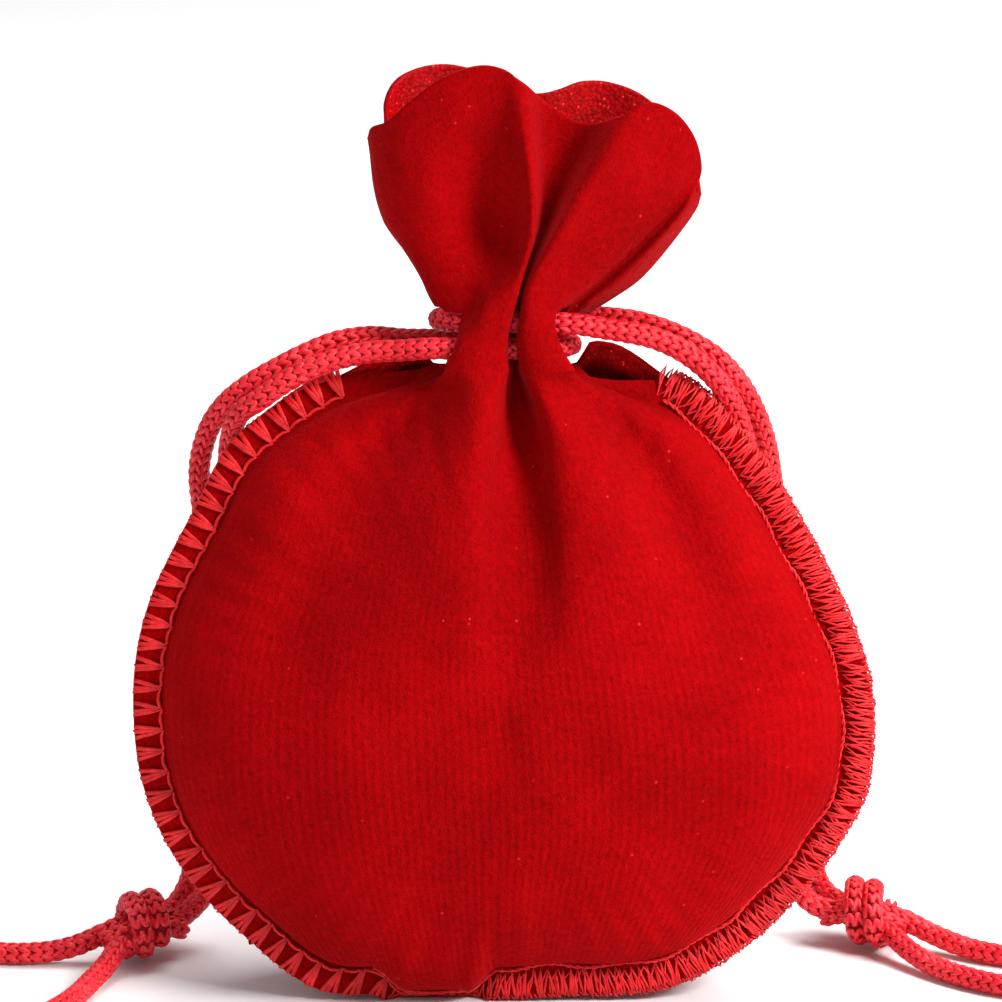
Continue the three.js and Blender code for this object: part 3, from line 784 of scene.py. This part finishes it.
def bodySpot(share, up):
    # the cloth laid out inside the seam's outline, with a border column and row run round it
    shape = pouchShape
    edge = clothLook["borderShare"]
    shoulder = shape["shoulderAngle"]
    leftFoot, rightFoot = shape["feet"]
    border = shape["border"]
    across = min(max((share - edge) / (1 - 2 * edge), 0), 1)
    rise = min(max((up - edge) / (1 - edge), 0), 1)
    outside = max(1 - up / edge, 1 - share / edge, 1 - (1 - share) / edge, 0)
    left = onEdge(leftFoot + (180 - shoulder - leftFoot) * rise, border)
    right = onEdge(rightFoot + (shoulder - rightFoot) * rise, border)
    bottom = onEdge(leftFoot + (rightFoot + 360 - leftFoot) * across, border)
    topLeft = onEdge(180 - shoulder, border)
    topRight = onEdge(shoulder, border)
    top = topLeft.lerp(topRight, across)
    cornerLeft = onEdge(leftFoot, border).lerp(topLeft, rise)
    cornerRight = onEdge(rightFoot, border).lerp(topRight, rise)
    spot = left.lerp(right, across) + bottom.lerp(top, rise) - cornerLeft.lerp(cornerRight, across)
    centre = Vector((0, shape["centreHeight"]))
    return spot + (spot - centre).normalized() * (outside * border)


# How the filled body rises from the seam: a throat below the neck, small puckers along the needle holes,
# and the cloth's edge rolled down.
cushion = {
    "throatRise": 6,
    "throatWidth": 7,
    "puckers": 58,
    "puckerDepth": 0.22,
    "puckerReach": 6,
    "fullness": 0.55,
    "edgeRoll": 0.33,
    "edgeRollWidth": 1.6,
}


def domeDepth(x, height, side):
    shape = pouchShape
    rise = cushion
    up = height - shape["centreHeight"]
    angle = math.degrees(math.atan2(up, x))
    turned = angle + 360 if angle < -90 else angle
    throat = rise["throatRise"] * math.exp(-((x / rise["throatWidth"]) ** 2)) if up > 0 else 0
    inset = edgeRadius(turned) - math.hypot(x, up) - shape["border"] + throat
    share = min(max(inset / (shape["seamRadius"] - shape["border"]), 0), 1)
    wave = math.sin(math.radians(turned) * rise["puckers"] + 2 * math.sin(turned / 9))
    pucker = rise["puckerDepth"] * math.exp(-inset / rise["puckerReach"]) * wave
    dome = shape["bulge"][side] * (1 - (1 - share) ** 2) ** rise["fullness"]
    rolled = rise["edgeRoll"] * (1 - smoothstep(inset + shape["border"], 0, rise["edgeRollWidth"]))
    return shape["borderFace"] - rolled + dome + pucker * min(share * 12, 1), inset


def unevenness(spot, scale, layer):
    return noise.noise(Vector((spot.x * scale[0], spot.y * scale[1], layer)))


def clothSpot(side, share, up):
    look = clothLook
    sign = 1 if side == "front" else -1
    if up > levelStops["low"]:
        stops = [(place, foldAt(side, level, share)) for level, place in levelStops.items()]
        spot = throughStops(stops, up)
        ripple = unevenness(spot, look["frillScale"], 17 if sign > 0 else 23)
        ripple *= look["frillDepth"]
        return spot.x, spot.y, spot.z + ripple * smoothstep(up, levelStops["foot"], look["frillFull"])
    flat = bodySpot(share, up / levelStops["low"])
    depth, inset = domeDepth(flat.x, flat.y, side)
    crease = throughStops(bodyFolds[side], share) * smoothstep(up, look["creaseFrom"], look["creaseFull"])
    soft = unevenness(flat, look["softScale"], 3 if sign > 0 else 8)
    small = unevenness(flat, look["smallScale"], 5 if sign > 0 else 11)
    uneven = crease + look["softDepth"] * soft + look["smallDepth"] * small
    depth += uneven * smoothstep(inset, 0, look["calmWidth"])
    turn = smoothstep(up, look["turnFrom"], levelStops["low"])
    if turn > 0:
        neck = foldAt(side, "low", share)
        flat = flat.lerp(neck.xy, turn)
        depth = depth + (neck.z - depth) * turn
    gap = shoulderGap(side, flat, share)
    flat.y += gap
    return flat.x, flat.y, depth + 0.7 * max(-gap, 0)


# Beside the neck the two cloths aren't sewn together, so the mouth of the cord's channel gapes: the front
# cloth sags there, and the back one stands up under the cord.
channelMouth = {
    "opens": (7.4, 9.4),  # how far out from the middle it opens and closes
    "closes": (11, 19),
    "heights": (58, 64),
    "edge": (0.02, 0.09),  # share of the cloth's width that moves
    "rise": {"front": (-1.3, -0.5), "back": (2.6, 1.9)},  # on the right and on the left
}


def shoulderGap(side, flat, share):
    mouth = channelMouth
    out = abs(flat.x)
    gap = smoothstep(out, *mouth["opens"]) * (1 - smoothstep(out, *mouth["closes"]))
    right, left = mouth["rise"][side]
    gap = (right if flat.x > 0 else left) * (gap * smoothstep(flat.y, *mouth["heights"]))
    return gap * (1 - smoothstep(min(share, 1 - share), *mouth["edge"]))


def pressDown(spot, depth, side):
    # the filled back rests on the table; nothing reaches below it
    z = spot.z / mm
    if side == "back":
        behind = smoothstep(depth, *pouchShape["basePressDepths"])
        z -= pouchShape["basePress"] * behind * (1 - smoothstep(z, 0, pouchShape["basePressReach"]))
    return Vector((spot.x, spot.y, max(z, 0) * mm))


def nearCords():
    # the cords' middles round the neck, for the slits that they go through
    line = []
    for routes in (leftCord, rightCord):
        route = routes["frontStrand"][3::-1] + routes["loop"] + routes["backStrand"][:4]
        line += alongRoute(route, 0.0004)[0]
    tree = KDTree(len(line))
    for i, spot in enumerate(line):
        tree.insert(spot, i)
    tree.balance()
    return tree


def makeCloth(side, cords):
    look = clothLook
    sign = 1 if side == "front" else -1
    bm = bmesh.new()
    size = {"x_segments": look["columns"], "y_segments": look["rows"], "size": 0.5}
    bmesh.ops.create_grid(bm, **size, calc_uvs=False)
    uvs = bm.loops.layers.uv.new("cloth")
    for face in bm.faces:
        for loop in face.loops:
            loop[uvs].uv = (loop.vert.co.x + 0.5, loop.vert.co.y + 0.5)
    cut = []
    lowest, highest = look["slitHeights"]
    for vert in bm.verts:
        share = vert.co.x + 0.5
        up = vert.co.y + 0.5
        x, height, depth = clothSpot(side, share if sign > 0 else 1 - share, up)
        vert.co = pressDown(onPouch(x, height, sign * depth), depth, side)
        if lowest < vert.co.z < highest and cords.find(vert.co)[2] < look["slit"]:
            cut.append(vert)
    bmesh.ops.delete(bm, geom=cut, context="VERTS")
    cloth = finishMesh(side + "_velvet_cloth", bm, [velvet, lining])
    wall = cloth.modifiers.new("wall", "SOLIDIFY")
    wall.thickness = look["thickness"]
    wall.offset = -1
    wall.material_offset = 1
    wall.material_offset_rim = 0
    return cloth


def bakeModifiers(piece):
    bpy.context.view_layer.update()
    done = bpy.data.meshes.new_from_object(piece.evaluated_get(bpy.context.evaluated_depsgraph_get()))
    piece.modifiers.clear()
    piece.data = done


def addCloths():
    cords = nearCords()
    for side in ("front", "back"):
        cloth = makeCloth(side, cords)
        bakeModifiers(cloth)
        for vert in cloth.data.vertices:
            vert.co.z = max(vert.co.z, 0)
        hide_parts(side + "_panel", side + "_frill")
        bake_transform(cloth)
        print(side, "cloth made:", len(cloth.data.polygons), "faces")


addCloths()


# The seam is bound from the left shoulder, round under the body, to the right shoulder. Down the left side
# the thread fans out from each needle hole in threes; from the base on it is tight and ruffled.

overlock = {
    "from": 119,  # degrees round the body's middle
    "fanTo": 249,
    "to": 421,
    "fanPitch": 2.45,  # mm from one fan to the next
    "fanSpread": 0.66,
    "tightPitch": 0.85,  # mm from one tight stitch to the next
    "tightTurn": 37,  # the edge's radius there, taken as round
    "needlePitch": 0.3,
    "needleTwist": 0.95,
    "loopPitch": 0.19,
    "loopSteps": 2.6,  # in half a loop
    "rollPitch": 0.6,
    "inner": 3.05,  # mm in from the cloth's edge, where the needle goes through
    "outer": 0.05,
    "lift": 1.12,  # mm from the seam plane to the thread's middle
    "fanRadius": 0.00021,  # thread radii in metres
    "tightRadius": 0.00014,
    "needleRadius": 0.00013,
    "edgeRadius": 0.00014,
    "rollRadius": 0.00062,  # of the cloths' edges, rolled together
    "rollInset": 0.5,
}


def onSeam(angle, inset, depth):
    turned = angle - 360 if angle > 270 else angle
    spot = onEdge(turned, inset)
    place = onPouch(spot.x, spot.y, depth)
    return Vector((place.x, place.y, max(place.z, 0.0003)))


def seamAngles(start, stop, pitch):
    # angles that step evenly along the seam's edge
    angles = [start]
    while angles[-1] < stop:
        angle = angles[-1]
        angles.append(angle + math.degrees(pitch / edgeRadius(angle)))
    return angles


def fanLine(hand):
    # out and back three times from each needle hole, then along to the next one
    look = overlock
    rng = random.Random(4 if hand > 0 else 9)
    lift = look["lift"] * hand
    line = []
    for angle in seamAngles(look["from"], look["fanTo"], look["fanPitch"]):
        turn = math.degrees(1 / edgeRadius(angle))  # one millimetre along the edge
        hole = look["inner"] + rng.uniform(-0.12, 0.12)
        for spread in (-1, 0.1, 1):
            out = angle + (spread * look["fanSpread"] + rng.uniform(-0.13, 0.13)) * turn
            part = angle + (out - angle) * 0.5
            line += [
                onSeam(angle + 0.06 * spread * turn, hole - 0.15 * abs(spread), lift + 0.12 * hand),
                onSeam(part - 0.07 * turn, (hole + look["outer"]) / 2, lift + 0.1 * hand),
                onSeam(out - 0.08 * turn, look["outer"] + rng.uniform(-0.1, 0.1), lift - 0.4 * hand),
                onSeam(out + 0.08 * turn, look["outer"] + rng.uniform(-0.1, 0.1), lift - 0.4 * hand),
                onSeam(part + 0.09 * turn, (hole + look["outer"]) / 2, lift + 0.06 * hand),
            ]
        line.append(onSeam(angle + 0.1 * turn, hole, lift + 0.2 * hand))
        for share in (0.3, 0.6, 0.85):
            bow = 0.28 * math.sin(math.pi * share)
            line.append(onSeam(angle + share * look["fanPitch"] * turn, hole - bow, lift + 0.12 * hand))
    return line


def tightLine(hand, seed, crowd):
    # close, uneven stitches over the edge
    look = overlock
    rng = random.Random(seed)
    lift = look["lift"] * hand
    line = []
    for angle in seamAngles(look["fanTo"], look["to"], look["tightPitch"] * crowd):
        turn = math.degrees(look["tightPitch"] / look["tightTurn"])
        sway = rng.uniform(-0.5, 0.5)
        hole = look["inner"] + rng.uniform(-0.5, 0.1)
        bend = rng.uniform(-0.25, 0.25)
        homeward = angle + (0.25 * sway + 0.5 - bend) * turn
        line += [
            onSeam(angle, hole, lift + 0.1 * hand),
            onSeam(angle + (0.25 * sway + bend) * turn, hole * 0.6, lift + rng.uniform(0, 0.3) * hand),
            onSeam(angle + sway * turn, 0.5, lift - 0.02 * hand),
            onSeam(angle + (sway + 0.15) * turn, rng.uniform(-0.55, -0.3), 0.35 * hand),
            onSeam(angle + (sway + 0.4) * turn, 0.45, lift + 0.02 * hand),
            onSeam(homeward, hole * 0.55, lift + rng.uniform(0, 0.25) * hand),
        ]
    return line


def needleLine(phase):
    # two fine threads twisted along the needle holes
    look = overlock
    rng = random.Random(12)
    line = []
    for i, angle in enumerate(seamAngles(look["fanTo"] - 4, look["to"], look["needlePitch"])):
        turn = i * look["needleTwist"] + phase
        drift = 0.22 * math.sin(i * 0.21) + rng.uniform(-0.04, 0.04)
        inset = look["inner"] + 0.25 + drift + 0.12 * math.cos(turn)
        line.append(onSeam(angle, inset, look["lift"] + 0.3 + 0.12 * math.sin(turn)))
    return line


def edgeLine(phase, seed):
    # the loopers lock round the edge in a row of small uneven loops
    look = overlock
    rng = random.Random(seed)
    line = []
    for i, angle in enumerate(seamAngles(look["fanTo"] + 3, look["to"], look["loopPitch"])):
        turn = i * math.pi / look["loopSteps"] + phase
        reach = 0.45 + rng.uniform(-0.14, 0.16)
        inset = look["outer"] + reach * math.cos(turn)
        line.append(onSeam(angle, inset, (0.55 + reach * 0.5) * math.sin(turn)))
    return line


def addStitching(look):
    fan, tight, needle, edge = [look[key + "Radius"] for key in ("fan", "tight", "needle", "edge")]
    threads = [
        ("front_fan_stitches", fanLine(1), fan, "front_looper_thread"),
        ("front_tight_stitches", tightLine(1, 5, 1.0), tight, None),
        ("front_tight_stitches_over", tightLine(1, 15, 1.6), tight, None),
        ("back_fan_stitches", fanLine(-1), fan, "back_looper_thread"),
        ("back_tight_stitches", tightLine(-1, 25, 1.0), tight, None),
        ("needle_thread_run", needleLine(0), needle, "needle_thread"),
        ("needle_thread_ply", needleLine(math.pi), needle, None),
        ("edge_loops", edgeLine(0, 31), edge, None),
        ("edge_loops_over", edgeLine(math.pi, 37), edge, None),
    ]
    for name, line, radius, node in threads:
        thread = curveTube(name, line, radius, 1, seamThread)
        if node:
            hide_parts(node)
        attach(thread, "pouch")
    angles = seamAngles(look["from"], look["to"], look["rollPitch"])
    rim = [onSeam(angle, look["rollInset"], 0) for angle in angles]
    for spot in rim:
        spot.z = max(spot.z, look["rollRadius"])  # it lies on the table, not in it
    # the roll's lighter colour is painted sheen
    roll = curveTube("rolled_seam_edge", rim, look["rollRadius"], 4, edgePaintedSheen)
    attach(roll, "pouch")
    print("seam overlocked")


addStitching(overlock)


studio = {
    "tableSize": 6.0,
    "tableColour": (0.86, 0.85, 0.86, 1),
    "worldStrength": 0.42,
    "aim": (0, 0, 0.045),
    # place, size, power and colour of each soft light, all aimed at the pouch
    "lights": [
        ("key", (0.66, -0.46, 0.6), 0.35, 13.5, (1.0, 0.99, 0.98)),
        ("fill", (-0.7, -0.6, 0.4), 0.6, 0.7, (1.0, 1.0, 1.0)),
        ("top", (0.25, 0.2, 0.9), 0.7, 10.0, (1.0, 1.0, 1.0)),
    ],
}


def addTable(look):
    material, tree, shader = newMaterial("pale_table", {"Roughness": 0.6, "Specular IOR Level": 0.2})
    spot = addNode(tree, "ShaderNodeTexCoord").outputs["Object"]
    grain = noiseOf(tree, spot, 900, 3)
    shade = look["tableColour"][:3]
    tone = addRamp(tree, grain, [(0.3, tuple(0.985 * c for c in shade)), (0.7, shade)])
    tree.links.new(tone, shader.inputs["Base Color"])
    bm = bmesh.new()
    bmesh.ops.create_grid(bm, x_segments=2, y_segments=2, size=look["tableSize"] / 2)
    table = finishMesh("table", bm, [material], smooth=False)


def addLights(look):
    aim = Vector(look["aim"])
    for name, place, size, power, colour in look["lights"]:
        data = bpy.data.lights.new(name, "AREA")
        data.shape = "DISK"
        data.size = size
        data.energy = power
        data.color = colour
        lamp = bpy.data.objects.new(name, data)
        bpy.context.scene.collection.objects.link(lamp)
        lamp.location = place
        lamp.rotation_euler = (aim - Vector(place)).to_track_quat("-Z", "Y").to_euler()
    world = bpy.data.worlds.new("white_room")
    world.use_nodes = True
    backdrop = world.node_tree.nodes["Background"]
    backdrop.inputs["Color"].default_value = (1, 1, 1, 1)
    backdrop.inputs["Strength"].default_value = look["worldStrength"]
    bpy.context.scene.world = world
    bpy.context.scene.view_settings.view_transform = "Standard"


addTable(studio)
addLights(studio)
print("table and lights set")
